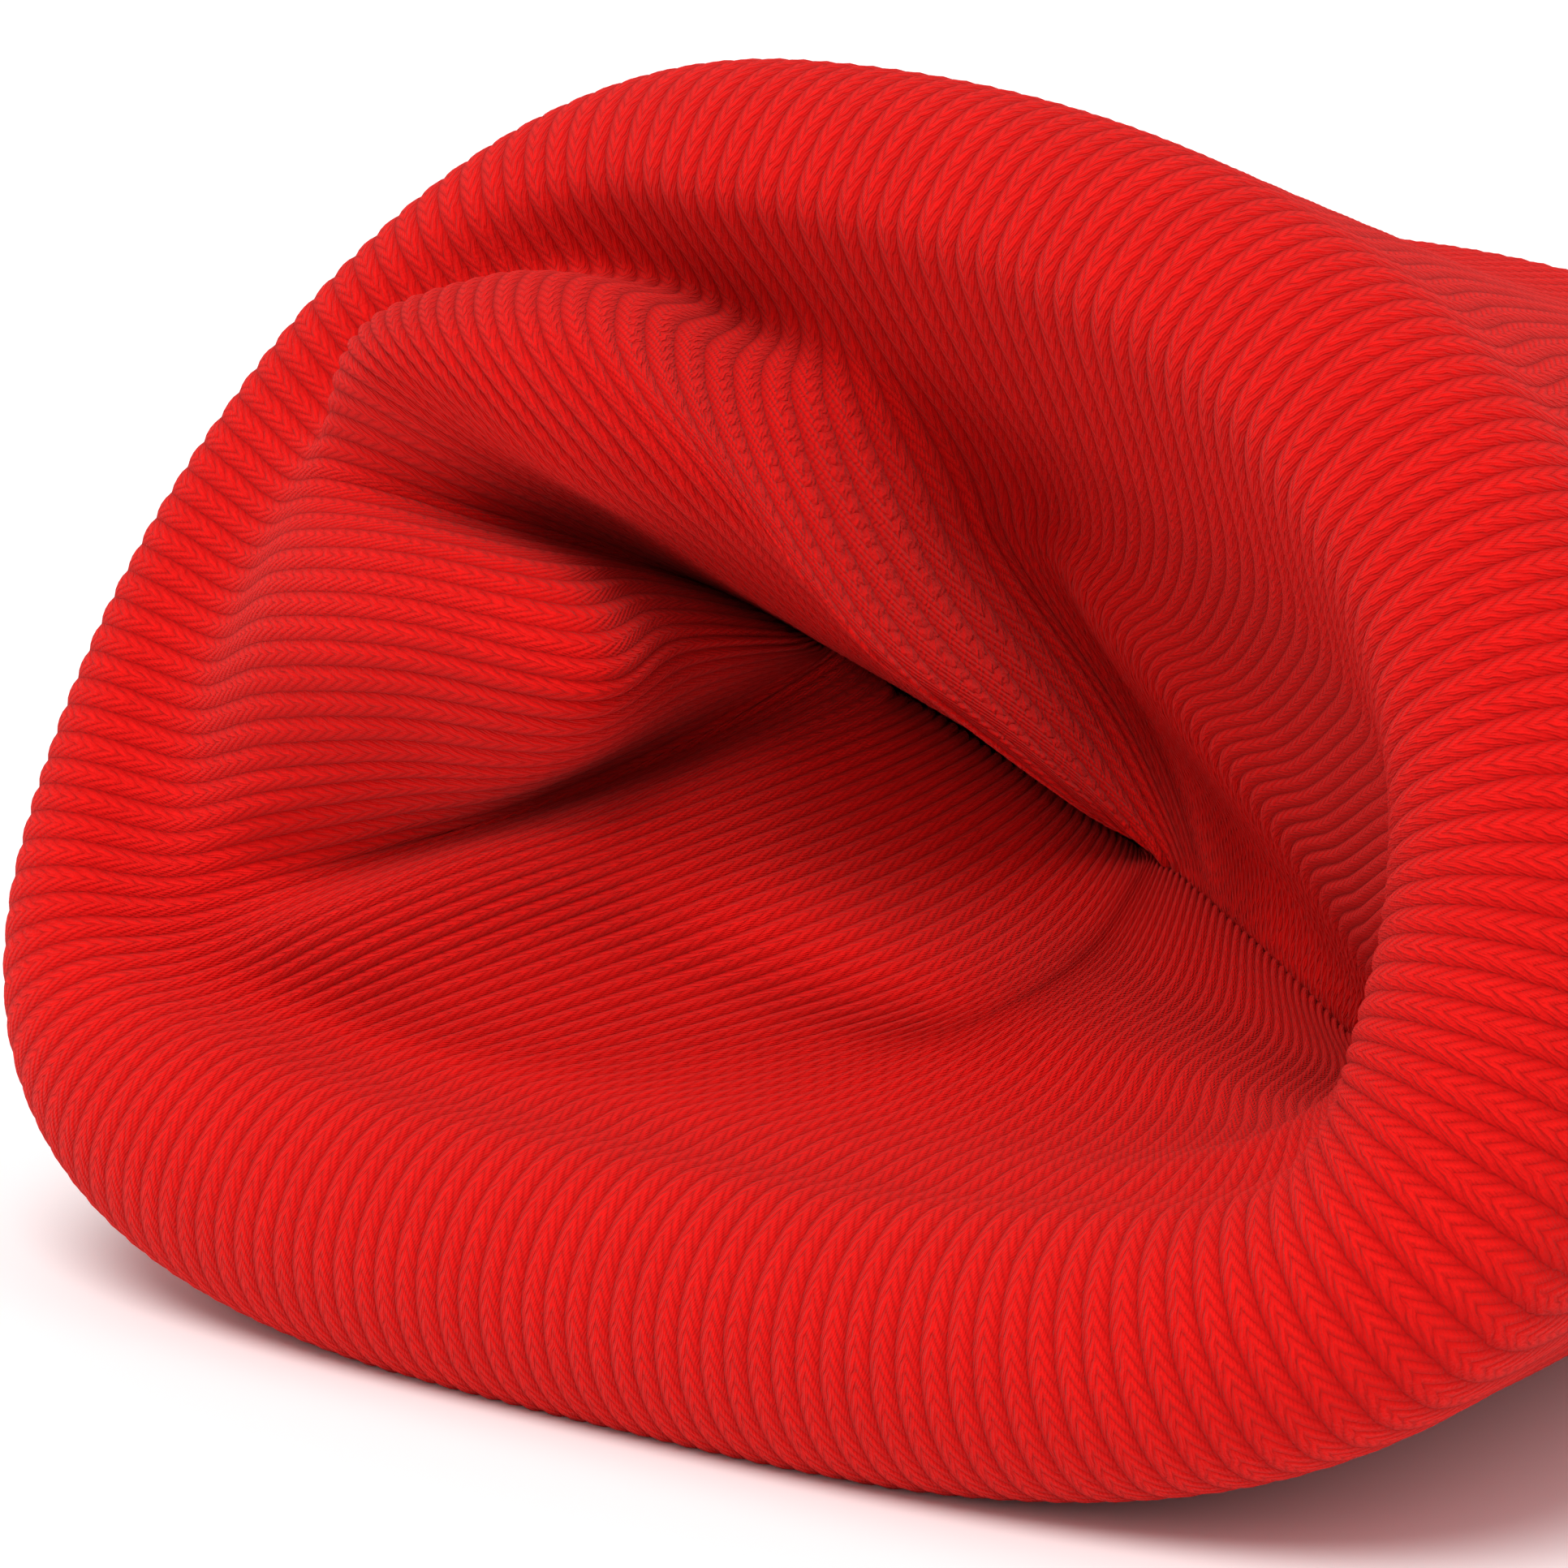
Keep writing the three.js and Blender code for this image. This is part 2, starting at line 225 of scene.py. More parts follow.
# Places on the rim whose columns reach the bag's bottom, left, top, right and bottom again
BAG_QUARTERS = [0, 1.4, 2.1, 3.1, 4]


# ---------------------------------------------------------------- curves and grids


def hermite(a, b, slope_a, slope_b, w):
    """A cubic from a to b, with these slopes at its ends, at w from 0 to 1."""
    return (
        (2 * w**3 - 3 * w**2 + 1) * a
        + (w**3 - 2 * w**2 + w) * slope_a
        + (3 * w**2 - 2 * w**3) * b
        + (w**3 - w**2) * slope_b
    )


def curve_through(p, w):
    """Centripetal Catmull-Rom: the stretch from p[1] to p[2] at w, for arrays of points."""
    gaps = []
    for k in range(3):
        length = np.linalg.norm(p[k + 1] - p[k], axis=-1, keepdims=True)
        gaps.append(np.sqrt(np.maximum(length, 1e-6)))
    slopes = []
    for k in (1, 2):
        a, b, c = p[k - 1], p[k], p[k + 1]
        before, after = gaps[k - 1], gaps[k]
        slope = (b - a) / before - (c - a) / (before + after) + (c - b) / after
        slopes.append(slope * gaps[1])
    return hermite(p[1], p[2], slopes[0], slopes[1], w)


def even_steps(points, count):
    """For a closed dense polyline, the places of count even steps, counted in its points."""
    gaps = np.linalg.norm(np.roll(points, -1, 0) - points, axis=1)
    reached = np.concatenate([[0], np.cumsum(gaps)])
    return np.interp(np.arange(count) / count * reached[-1], reached, np.arange(len(reached)))


def open_curves(rows, steps):
    """Dense curves through rows of points, one curve for each column."""
    rows = np.asarray(rows, float)
    ends = [2 * rows[0] - rows[1], *rows, 2 * rows[-1] - rows[-2]]
    dense = []
    for k in range(len(rows) - 1):
        for i in range(steps):
            dense.append(curve_through(ends[k : k + 4], i / steps))
    return np.array([*dense, rows[-1]])


def lengths_along(dense):
    gaps = np.linalg.norm(np.diff(dense, axis=0), axis=2)
    return np.concatenate([np.zeros((1, dense.shape[1])), np.cumsum(gaps, 0)])


def resample(dense, wanted):
    """Each column's points at the wanted lengths along it. wanted has a column for each one."""
    reached = lengths_along(dense)
    out = np.zeros((len(wanted), dense.shape[1], 3))
    for i in range(dense.shape[1]):
        for axis in range(3):
            out[:, i, axis] = np.interp(wanted[:, i], reached[:, i], dense[:, i, axis])
    return out


def spline_weights(w):
    return [(1 - w) ** 3 / 6, (3 * w**3 - 6 * w**2 + 4) / 6,
            (-3 * w**3 + 3 * w**2 + 3 * w + 1) / 6, w**3 / 6]


def refine_around(grid, steps):
    """A smooth closed surface over a grid, with that many steps for each of its columns."""
    fine = np.zeros((len(grid), grid.shape[1] * steps, 3))
    for i in range(steps):
        for k, weight in enumerate(spline_weights(i / steps)):
            fine[:, i::steps] += weight * np.roll(grid, 1 - k, axis=1)
    return fine


def refine_along(grid, steps):
    padded = np.concatenate([2 * grid[:1] - grid[1:2], grid, 2 * grid[-1:] - grid[-2:-1]])
    rows = (len(grid) - 1) * steps
    fine = np.zeros((rows + 1, grid.shape[1], 3))
    for i in range(steps):
        for k, weight in enumerate(spline_weights(i / steps)):
            fine[i:rows:steps] += weight * padded[k : k + len(grid) - 1]
    fine[-1] = grid[-1]
    return fine


def normals_of(grid):
    around = np.roll(grid, -1, axis=1) - np.roll(grid, 1, axis=1)
    along = np.gradient(grid, axis=0)
    normals = np.cross(along, around)
    return normals / np.maximum(np.linalg.norm(normals, axis=2, keepdims=True), 1e-9)


# ---------------------------------------------------------------- the hat's shape


def rim_at(place):
    """Points of the rim, clockwise in quarters: 0 is the lowest, 1 the leftmost, 2 the highest."""
    place = np.mod(place, 4)
    quarter = np.floor(place)
    angle = (place - quarter) * math.pi / 2
    lower = (quarter == 0) | (quarter == 3)
    left = quarter < 2
    leaves_end = quarter % 2 == 0
    power = 2 / np.where(lower, LOWER_SQUARENESS, UPPER_SQUARENESS)
    across = np.abs(np.where(leaves_end, np.sin(angle), np.cos(angle))) ** power
    up = np.abs(np.where(leaves_end, np.cos(angle), np.sin(angle))) ** power
    end_x, end_z = (np.where(lower, RIM_BOTTOM[k], RIM_TOP[k]) for k in (0, 1))
    side_x, side_z = (np.where(left, RIM_LEFT[k], RIM_RIGHT[k]) for k in (0, 1))
    x = end_x + (side_x - end_x) * across
    z = side_z + (end_z - side_z) * up
    y = RIM_FRONT_Y + RIM_LEAN * (z - RIM_BOTTOM[1]) - RIM_SKEW * x
    return np.stack([x, y, z], axis=-1)


RIM_STEP = 0.001
RIM_T = even_steps(rim_at(np.arange(0, 4, RIM_STEP)), WALES) * RIM_STEP
RIM = rim_at(RIM_T)
TANGENT = rim_at(RIM_T + TANGENT_REACH) - rim_at(RIM_T - TANGENT_REACH)
OUTWARD = np.cross(MOUTH, TANGENT)
OUTWARD = OUTWARD / np.linalg.norm(OUTWARD, axis=1, keepdims=True)


def oval_ring(y, half_width, bottom, top):
    """An oval that is rounder on top than where it rests, from its bottom centre."""
    middle = bottom + WIDEST * (top - bottom)
    angle = -math.pi / 2 - np.linspace(0, 2 * math.pi, OVAL_STEPS, endpoint=False)
    across, up = np.cos(angle), np.sin(angle)
    square = np.where(up < 0, LOWER_POWER, UPPER_POWER)
    height = np.where(up < 0, middle - bottom, top - middle)
    x = half_width * np.sign(across) * np.abs(across) ** square
    z = middle + height * np.sign(up) * np.abs(up) ** square
    ring = np.stack([x, np.full_like(x, y), z], axis=1)
    place = even_steps(ring, WALES)
    closed = np.append(ring, ring[:1], axis=0)
    places = np.arange(OVAL_STEPS + 1)
    return np.stack([np.interp(place, places, closed[:, k]) for k in range(3)], 1)


def shell_rows():
    """The outside of the outer layer, from inside the roll to the gathered crown."""
    front = RIM + OUTWARD * (TUCK + FABRIC / 2)
    sections = [oval_ring(*section) for section in BODY]
    under = [front + (sections[0] - front) * share for share in (0, 0.25, 0.5, 0.75)]
    return under + sections


def unit(vectors):
    return vectors / np.maximum(np.linalg.norm(vectors, axis=-1, keepdims=True), 1e-9)


def over_shell(shell):
    """A dense outside of the body, its normals, and for each column of stitches the place, counted
    in dense rows, where it crosses the plane of the cuff's free edge."""
    dense = open_curves(shell, CURVE_STEPS)
    normals = normals_of(dense)
    if normals[len(dense) // 2, 0, 2] > 0:
        normals = -normals
    past = dense[:, :, 1] - CUFF_EDGE_Y - CUFF_EDGE_SLOPE * (dense[:, :, 2] - CUFF_EDGE_Z)
    after = np.argmax(past > 0, axis=0)
    column = np.arange(past.shape[1])
    short, beyond = past[after - 1, column], past[after, column]
    return dense, normals, after - beyond / (beyond - short)


def at_places(rows, place):
    """Each column's point at its own place, counted in rows, between rows where need be."""
    low = np.clip(np.floor(place).astype(int), 0, len(rows) - 2)
    column = np.arange(rows.shape[1])
    w = (place - low)[:, None]
    return rows[low, column] * (1 - w) + rows[low + 1, column] * w


def around_rim(places, values):
    """Values given at places on the rim, smoothly interpolated for every column of stitches."""
    t = np.array(places, float)
    values = np.array(values, float)
    values = values.reshape(len(t), -1)
    t = np.concatenate([t[-2:] - 4, t, t[:3] + 4])
    values = np.concatenate([values[-2:], values, values[:3]])
    step = np.diff(t)[:, None]
    rise = np.diff(values, axis=0) / step
    slopes = np.zeros_like(values)
    slopes[1:-1] = (rise[:-1] * step[1:] + rise[1:] * step[:-1]) / (step[1:] + step[:-1])
    k = np.searchsorted(t, RIM_T, side="right") - 1
    w = ((RIM_T - t[k]) / step[k, 0])[:, None]
    return hermite(values[k], values[k + 1], slopes[k] * step[k], slopes[k + 1] * step[k], w)


def fold_rows():
    """Rows of points over the folds, from the groove behind the roll to the throat."""
    places = [line[0] for line in FOLD_LINES]
    crest = around_rim(places, [line[1] for line in FOLD_LINES])
    lift = around_rim(places, [line[2] for line in FOLD_LINES])
    share = around_rim(places, [line[3] for line in FOLD_LINES])
    slant = math.radians(THROAT_SLANT)
    slot = np.array([math.cos(slant), 0, -math.sin(slant)])
    share = np.clip(share, -1, 1)
    throat = THROAT + share * THROAT_HALF_LENGTH * slot
    throat[:, 1:2] += THROAT_DEPTH * (1 - share**2)
    groove = RIM - OUTWARD * along_rim(GROOVES) + MOUTH * along_rim(GROOVE_RISES)
    start = groove + (crest - groove) * START_SHARE + MOUTH * lift * START_SWELL
    swell = groove + (crest - groove) * SWELL_SHARE + MOUTH * lift * SWELL_SWELL
    turn = crest + (throat - crest) * TURN_SHARE + MOUTH * (lift * ROUNDNESS - TURN_BACK)
    return [groove, start, swell, crest, turn, throat]


def along_rim(values):
    return np.interp(RIM_T, [*ROLL_PLACES, 4], [*values, values[0]])[:, None]


def slack_bag():
    """The lining's slack end: rings behind the folds, down to where it is gathered."""
    rings = []
    for y, cx, cz, half_length, half_width, slant in SLACK_BAG:
        share = np.interp(RIM_T, BAG_QUARTERS, [0, 0.25, 0.5, 0.75, 1])
        angle = -math.pi / 2 - 2 * math.pi * share
        turn = math.radians(-slant)
        x, z = half_length * np.cos(angle), half_width * np.sin(angle)
        rings.append(np.stack([
            cx + x * math.cos(turn) - z * math.sin(turn),
            np.full(WALES, float(y)),
            cz + x * math.sin(turn) + z * math.cos(turn),
        ], 1))
    return rings


def lining_layer():
    """The layer that shows: out from under the cuff's hem, along the band, around the rolled rim,
    over the folds and down the slack bag. Also the length at which each column leaves the roll."""
    dense, normals, edge = over_shell(shell_rows())
    seat, normal = at_places(dense, edge), at_places(normals, edge)
    back = unit(at_places(dense, edge + EDGE_REACH) - at_places(dense, edge - EDGE_REACH))
    outer = seat + normal * (SEAT_GAP + CUFF)
    inner = seat + normal * SEAT_GAP
    hem = seat + normal * (SEAT_GAP + CUFF / 2)
    rows = [*(inner - back * tuck for tuck in HEM_TUCKS), inner]
    for degrees in (-45, 0, 45):
        angle = math.radians(degrees)
        rows.append(hem + (back * math.cos(angle) + normal * math.sin(angle)) * CUFF / 2)
    rows.append(outer)
    lift_at_roll = ROLL_RADIUS - TUCK - FABRIC / 2
    for share in (0.8, 0.6, 0.4, 0.2):
        lift = SEAT_GAP + CUFF + (lift_at_roll - SEAT_GAP - CUFF) * (1 - share)
        lift += BAND_BELLY * math.sin(math.pi * share)
        rows.append(at_places(dense, edge * share) + at_places(normals, edge * share) * lift)
    radius = along_rim(ROLL_RADII)
    centre = RIM + OUTWARD * (ROLL_RADIUS - radius)
    for share in (0, 0.2, 0.4, 0.6, 0.8, 1):
        angle = np.radians(along_rim(ROLL_TURNS) * share)
        rows.append(centre + radius * (OUTWARD * np.cos(angle) + MOUTH * np.sin(angle)))
    before_folds = len(rows)
    rows += [*fold_rows(), *slack_bag()]
    dense = open_curves(rows, CURVE_STEPS)
    reached = lengths_along(dense)
    leaves = reached[(before_folds - 1) * CURVE_STEPS]
    total = reached[-1]
    seen = np.arange(0, VISIBLE_LENGTH, COURSE)[:, None] * np.ones((1, WALES))
    share = (np.arange(1, HIDDEN_ROWS + 1) / HIDDEN_ROWS)[:, None]
    hidden = seen[-1:] + (total[None] - seen[-1:]) * share
    return resample(dense, np.concatenate([seen, hidden])), leaves


def outer_layer():
    rows = shell_rows()
    dense = open_curves(rows[FIRST_SHELL_ROW:], CURVE_STEPS)
    reached = lengths_along(dense)
    total = reached[-1]
    count = int(total.mean() / COURSE)
    return resample(dense, np.linspace(0, 1, count)[:, None] * total[None])


def raised_stitches(grid, normals, course_steps):
    """The grid with a rounded ridge for each column of stitches and a bead for each stitch. Where
    the columns are crowded together their ridges stand up, and where they are stretched they
    flatten."""
    rows, columns = grid.shape[:2]
    pitch = np.linalg.norm(np.roll(grid, -WALE_STEPS, axis=1) - grid, axis=2)
    crowding = np.clip((WALE / np.maximum(pitch, 0.5)) ** CROWDING_POWER, *CROWDING_LIMITS)
    x = (np.arange(columns) / WALE_STEPS)[None]
    y = (np.arange(rows) / course_steps)[:, None]
    across = np.abs(np.sin(math.pi * x))
    bead = 0.5 + 0.5 * np.cos(2 * math.pi * (y - LEG_SLANT))
    height = crowding * RIDGE * across**RIDGE_POWER + BEAD * bead * across
    raised = grid + normals * height[..., None]
    raised[..., 2] = np.maximum(raised[..., 2], 0)
    return raised


def knit_object(name, grid, normals, first_row, course_steps, material):
    rows, columns = grid.shape[:2]
    mesh = bpy.data.meshes.new(name)
    row, column = np.meshgrid(np.arange(rows - 1), np.arange(columns), indexing="ij")
    after = (column + 1) % columns
    corners = np.stack([
        row * columns + column, (row + 1) * columns + column,
        (row + 1) * columns + after, row * columns + after,
    ], -1).reshape(-1, 4)
    across, down = grid[0, 1] - grid[0, 0], grid[1, 0] - grid[0, 0]
    inside_out = np.dot(np.cross(down, across), normals[0, 0]) < 0
    if inside_out:
        corners = corners[:, ::-1]
    mesh.vertices.add(rows * columns)
    mesh.vertices.foreach_set("co", (grid * MM).astype(np.float32).ravel())
    mesh.loops.add(corners.size)
    mesh.loops.foreach_set("vertex_index", corners.astype(np.int32).ravel())
    mesh.polygons.add(len(corners))
    mesh.polygons.foreach_set("loop_start", np.arange(0, corners.size, 4, dtype=np.int32))
    mesh.update(calc_edges=True)
    u = np.stack([column, column, column + 1, column + 1], -1).reshape(-1, 4) / WALE_STEPS
    v = (np.stack([row, row + 1, row + 1, row], -1).reshape(-1, 4) + first_row) / course_steps
    if inside_out:
        u, v = u[:, ::-1], v[:, ::-1]
    uv = mesh.uv_layers.new(name="stitches")
    uv.data.foreach_set("uv", np.stack([u.ravel(), v.ravel()], 1).astype(np.float32).ravel())
    mesh.polygons.foreach_set("use_smooth", np.ones(len(corners), bool))
    mesh.normals_split_custom_set_from_vertices(normals.reshape(-1, 3).tolist())
    mesh.materials.append(material)
    obj = bpy.data.objects.new(name, mesh)
    bpy.context.scene.collection.objects.link(obj)
    return obj


# ---------------------------------------------------------------- the pom pom and its tie


def mesh_object(name, points, faces, material):
    mesh = bpy.data.meshes.new(name)
    mesh.from_pydata((np.asarray(points) * MM).tolist(), [], faces)
    mesh.polygons.foreach_set("use_smooth", np.ones(len(mesh.polygons), bool))
    mesh.materials.append(material)
    obj = bpy.data.objects.new(name, mesh)
    bpy.context.scene.collection.objects.link(obj)
    return obj


def tube(path, radii, sides, closed=False, first=0):
    """Points and faces of a round tube along a path, with its ends capped unless it is closed."""
    path = np.asarray(path, float)
    count = len(path)
    if closed:
        along = unit(np.roll(path, -1, 0) - np.roll(path, 1, 0))
    else:
        along = unit(np.gradient(path, axis=0))
    helper = np.where(np.abs(along[:, 2:]) < 0.9, [[0, 0, 1.0]], [[1.0, 0, 0]])
    side = unit(np.cross(along, helper))
    up = np.cross(along, side)
    turn = 2 * math.pi * np.arange(sides) / sides
    offsets = side[:, None] * np.cos(turn)[None, :, None] + up[:, None] * np.sin(turn)[None, :, None]
    points = path[:, None] + offsets * np.broadcast_to(radii, count)[:, None, None]
    faces = []
    for i in range(count if closed else count - 1):
        for k in range(sides):
            a, b = i * sides, (i + 1) % count * sides
            after = (k + 1) % sides
            faces.append([first + a + k, first + b + k, first + b + after, first + a + after])
    if not closed:
        faces.append([first + k for k in reversed(range(sides))])
        faces.append([first + (count - 1) * sides + k for k in range(sides)])
    return points.reshape(-1, 3), faces


def joined_tubes(name, tubes, material):
    """One object from several tubes: (path, radii, sides, closed)."""
    points, faces, first = [], [], 0
    for path, radii, sides, closed in tubes:
        more, quads = tube(path, radii, sides, closed, first)
        points.append(more)
        faces += quads
        first += len(more)
    return mesh_object(name, np.concatenate(points), faces, material)


def twisted_cord(name, start, end, radius, material):
    """A straight two-ply cord along Y."""
    ply = radius / 2
    y = np.arange(start + ply, end - ply, CORD_STEP)
    tubes = []
    for phase in (0, math.pi):
        turn = 2 * math.pi * (y - start) / (CORD_PITCH * radius) + phase
        path = np.stack([ply * np.cos(turn), y, CROWN_Z + ply * np.sin(turn)], 1)
        tubes.append((path, ply, CORD_SIDES, False))
    return joined_tubes(name, tubes, material)


def thread_ring(name, y, z, ring_radius, radius, waves, wave, material):
    """A two-ply thread in a ring around the tie's direction, waving through the stitches."""
    around = np.linspace(0, 2 * math.pi, RING_POINTS, endpoint=False)
    ply = (radius - wave) / 2
    tubes = []
    for phase in (0, math.pi):
        turn = RING_TWISTS * around + phase
        r = ring_radius + ply * np.cos(turn)
        depth = y + ply * np.sin(turn) + wave * np.sin(waves * around)
        path = np.stack([r * np.cos(around), depth, z + r * np.sin(around)], 1)
        tubes.append((path, ply, THREAD_SIDES, True))
    return joined_tubes(name, tubes, material)


def overhand_knot(name, y, radius, material):
    """A knot pulled into a ball: a trefoil of cord."""
    t = np.linspace(0, 2 * math.pi, KNOT_POINTS, endpoint=False)
    strand = radius * KNOT_STRAND
    x, z = np.sin(t) + 2 * np.sin(2 * t), np.cos(t) - 2 * np.cos(2 * t)
    path = np.stack([x / 3, -np.sin(3 * t) * 0.75, z / 3], 1) * (radius - strand)
    path += [0, y, CROWN_Z]
    return joined_tubes(name, [(path, strand, CORD_SIDES, True)], material)


def even_directions(count):
    """Directions spread evenly over the sphere, each moved a little at random."""
    k = np.arange(count) + 0.5
    up = 1 - 2 * k / count
    turn = math.pi * (1 + math.sqrt(5)) * k
    flat = np.sqrt(1 - up**2)
    directions = np.stack([flat * np.cos(turn), up, flat * np.sin(turn)], 1)
    return unit(directions + RNG.normal(0, STRAND_SCATTER, (count, 3)))


def pom_yarn():
    """The cut ends of the pom pom's yarn, splayed out around the narrow room for the tie."""
    pom_y = POM_KNOT_Y + POM_RADIUS
    tubes = []
    count = len(STRAND_RADII)
    share = (np.arange(count) / (count - 1))[:, None]
    radii = np.linspace(POM_CORE - STRAND_ROOT, POM_RADIUS - 1, count)
    for direction in even_directions(STRANDS):
        length = 1 + np.clip(RNG.normal(0, LENGTH_SPREAD), *LENGTH_LIMITS)
        curl = unit(RNG.normal(0, 1, 3)) * RNG.uniform(*CURL_LIMITS)
        path = direction * radii[:, None] * length + curl * share**2
        path[:, 2] = np.maximum(path[:, 2], STRAND_END - CROWN_Z)
        off_axis = np.hypot(path[:, 0], path[:, 2])
        if direction[1] < 0:
            push = np.maximum(1, (TIE_ROOM + STRAND_END) / np.maximum(off_axis, 0.1))
            path[:, 0] *= push
            path[:, 2] *= push
        tubes.append((path + [0, pom_y, CROWN_Z], STRAND_RADII, 3, False))
    return tubes


def pom_core():
    """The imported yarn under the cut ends, turned around the room for the tie."""
    around = np.linspace(0, 2 * math.pi, CORE_SIDES, endpoint=False)
    start = math.asin(TIE_ROOM / POM_CORE)
    profile = [(0, CORE_FLOOR), (TIE_ROOM, CORE_FLOOR)]
    for angle in np.linspace(start, math.pi - CORE_POLE, CORE_RINGS):
        profile.append((POM_CORE * math.sin(angle), -POM_CORE * math.cos(angle)))
    rings = []
    for radius, depth in profile[1:]:
        depths = np.full(CORE_SIDES, depth)
        rings.append(np.stack([radius * np.cos(around), depths, radius * np.sin(around)], 1))
    points = np.concatenate([[[0, CORE_FLOOR, 0]], *rings, [[0, POM_CORE, 0]]])
    points += [0, POM_KNOT_Y + POM_RADIUS, CROWN_Z]
    faces = []
    for k in range(CORE_SIDES):
        after = (k + 1) % CORE_SIDES
        faces.append([0, 1 + after, 1 + k])
        for i in range(len(rings) - 1):
            a, b = 1 + i * CORE_SIDES, 1 + (i + 1) * CORE_SIDES
            faces.append([a + k, a + after, b + after, b + k])
        last = 1 + (len(rings) - 1) * CORE_SIDES
        faces.append([last + k, last + after, len(points) - 1])
    return points, faces


# ---------------------------------------------------------------- materials


def new_material(name):
    material = bpy.data.materials.new(name)
    material.use_nodes = True
    return material, material.node_tree, material.node_tree.nodes["Principled BSDF"]


def math_node(tree, operation, *values):
    node = tree.nodes.new("ShaderNodeMath")
    node.operation = operation
    for socket, value in zip(node.inputs, values):
        if isinstance(value, (int, float)):
            socket.default_value = value
        else:
            tree.links.new(value, socket)
    return node.outputs[0]


def mixed(tree, factor, a, b):
    node = tree.nodes.new("ShaderNodeMix")
    node.data_type = "RGBA"
    for socket, value in ((node.inputs["Factor"], factor), (node.inputs["A"], a), (node.inputs["B"], b)):
        if isinstance(value, (int, float, tuple)):
            socket.default_value = value
        else:
            tree.links.new(value, socket)
    return node.outputs["Result"]


def noise(tree, scale, detail):
    coordinates = tree.nodes.new("ShaderNodeTexCoord")
    node = tree.nodes.new("ShaderNodeTexNoise")
    node.inputs["Scale"].default_value = scale
    node.inputs["Detail"].default_value = detail
    tree.links.new(coordinates.outputs["Object"], node.inputs["Vector"])
    return node.outputs[0]


def knit_material(name, bright, shade_and_uneven_red):
    """Columns of V-shaped stitches from the stitch coordinates, with plied yarn, loose fibres and painted
    shade in the grooves.
    """
    material, tree, shader = new_material(name)
    uv = tree.nodes.new("ShaderNodeUVMap")
    uv.uv_map = "stitches"
    split = tree.nodes.new("ShaderNodeSeparateXYZ")
    tree.links.new(uv.outputs[0], split.inputs[0])
    wobble = math_node(tree, "MULTIPLY_ADD", noise(tree, 700, 1.0), 0.5, -0.25)
    u = math_node(tree, "MULTIPLY_ADD", wobble, 0.25, split.outputs[0])
    v = math_node(tree, "ADD", wobble, split.outputs[1])
    across = math_node(tree, "MULTIPLY", math_node(tree, "PINGPONG", u, 0.5), 2.0)
    place = math_node(tree, "MULTIPLY_ADD", across, -LEG_SLANT, v)
    leg = math_node(tree, "MULTIPLY", math_node(tree, "PINGPONG", place, 0.5), 2.0)
    leg = math_node(tree, "POWER", leg, 0.6)
    hollow = math_node(tree, "MULTIPLY_ADD", math_node(tree, "POWER", across, 4.0), -0.3, 1.0)
    ridge = math_node(tree, "MULTIPLY", math_node(tree, "POWER", across, 0.5), hollow)
    stitch = math_node(tree, "MULTIPLY", ridge, math_node(tree, "MULTIPLY_ADD", leg, 0.6, 0.4))
    twist = math_node(tree, "MULTIPLY", math_node(tree, "MULTIPLY_ADD", u, 5.0, v), 12.0)
    ply = math_node(tree, "MULTIPLY_ADD", math_node(tree, "SINE", twist), 0.08, 0.0)
    fibres = math_node(tree, "MULTIPLY_ADD", noise(tree, 2600, 3.0), 0.5, ply)
    bump = tree.nodes.new("ShaderNodeBump")
    bump.inputs["Distance"].default_value = 0.0004
    bump.inputs["Strength"].default_value = 0.9
    tree.links.new(math_node(tree, "ADD", stitch, fibres), bump.inputs["Height"])
    tree.links.new(bump.outputs[0], shader.inputs["Normal"])
    # Painted shade: the colour runs from the dark red in the grooves between columns and legs to the
    # bright red on the ridges.
    shade = math_node(tree, "MINIMUM", math_node(tree, "MULTIPLY", stitch, 1.25), 1.0)
    colour = mixed(tree, shade, (*shade_and_uneven_red, 1), (*bright, 1))
    # Random patches of uneven tone, towards the same dark red.
    uneven = math_node(tree, "MULTIPLY_ADD", noise(tree, 120, 3.0), 0.3, -0.05)
    colour = mixed(tree, uneven, colour, (*shade_and_uneven_red, 1))
    tree.links.new(colour, shader.inputs["Base Color"])
    shader.inputs["Roughness"].default_value = 1.0
    shader.inputs["Specular IOR Level"].default_value = 0.1
    shader.inputs["Sheen Weight"].default_value = 0.1
    shader.inputs["Sheen Roughness"].default_value = 0.5
    shader.inputs["Sheen Tint"].default_value = (1, 0.4, 0.36, 1)
    return material


def yarn_material(name, bright, shade_and_uneven_red, scale):
    """Plied yarn: fine slanting strokes, with painted shade in their hollows."""
    material, tree, shader = new_material(name)
    strokes = noise(tree, scale, 4.0)
    bump = tree.nodes.new("ShaderNodeBump")
    bump.inputs["Distance"].default_value = 0.0005
    bump.inputs["Strength"].default_value = 0.8
    tree.links.new(strokes, bump.inputs["Height"])
    tree.links.new(bump.outputs[0], shader.inputs["Normal"])
    # Painted shade: the colour is darker where the strokes sink.
    shade = math_node(tree, "MULTIPLY_ADD", strokes, 1.6, -0.25)
    tree.links.new(mixed(tree, shade, (*shade_and_uneven_red, 1), (*bright, 1)), shader.inputs["Base Color"])
    shader.inputs["Roughness"].default_value = 1.0
    shader.inputs["Specular IOR Level"].default_value = 0.1
    shader.inputs["Sheen Weight"].default_value = 0.08
    shader.inputs["Sheen Roughness"].default_value = 0.5
    shader.inputs["Sheen Tint"].default_value = (1, 0.4, 0.36, 1)
    return material


def plain_material(name, colour):
    material, _, shader = new_material(name)
    shader.inputs["Base Color"].default_value = (*colour, 1)
    shader.inputs["Roughness"].default_value = 0.9
    return material


# ---------------------------------------------------------------- studio


def look_from(azimuth, elevation):
    a, e = math.radians(azimuth), math.radians(elevation)
    return Vector((math.sin(a) * math.cos(e), -math.cos(a) * math.cos(e), math.sin(e)))


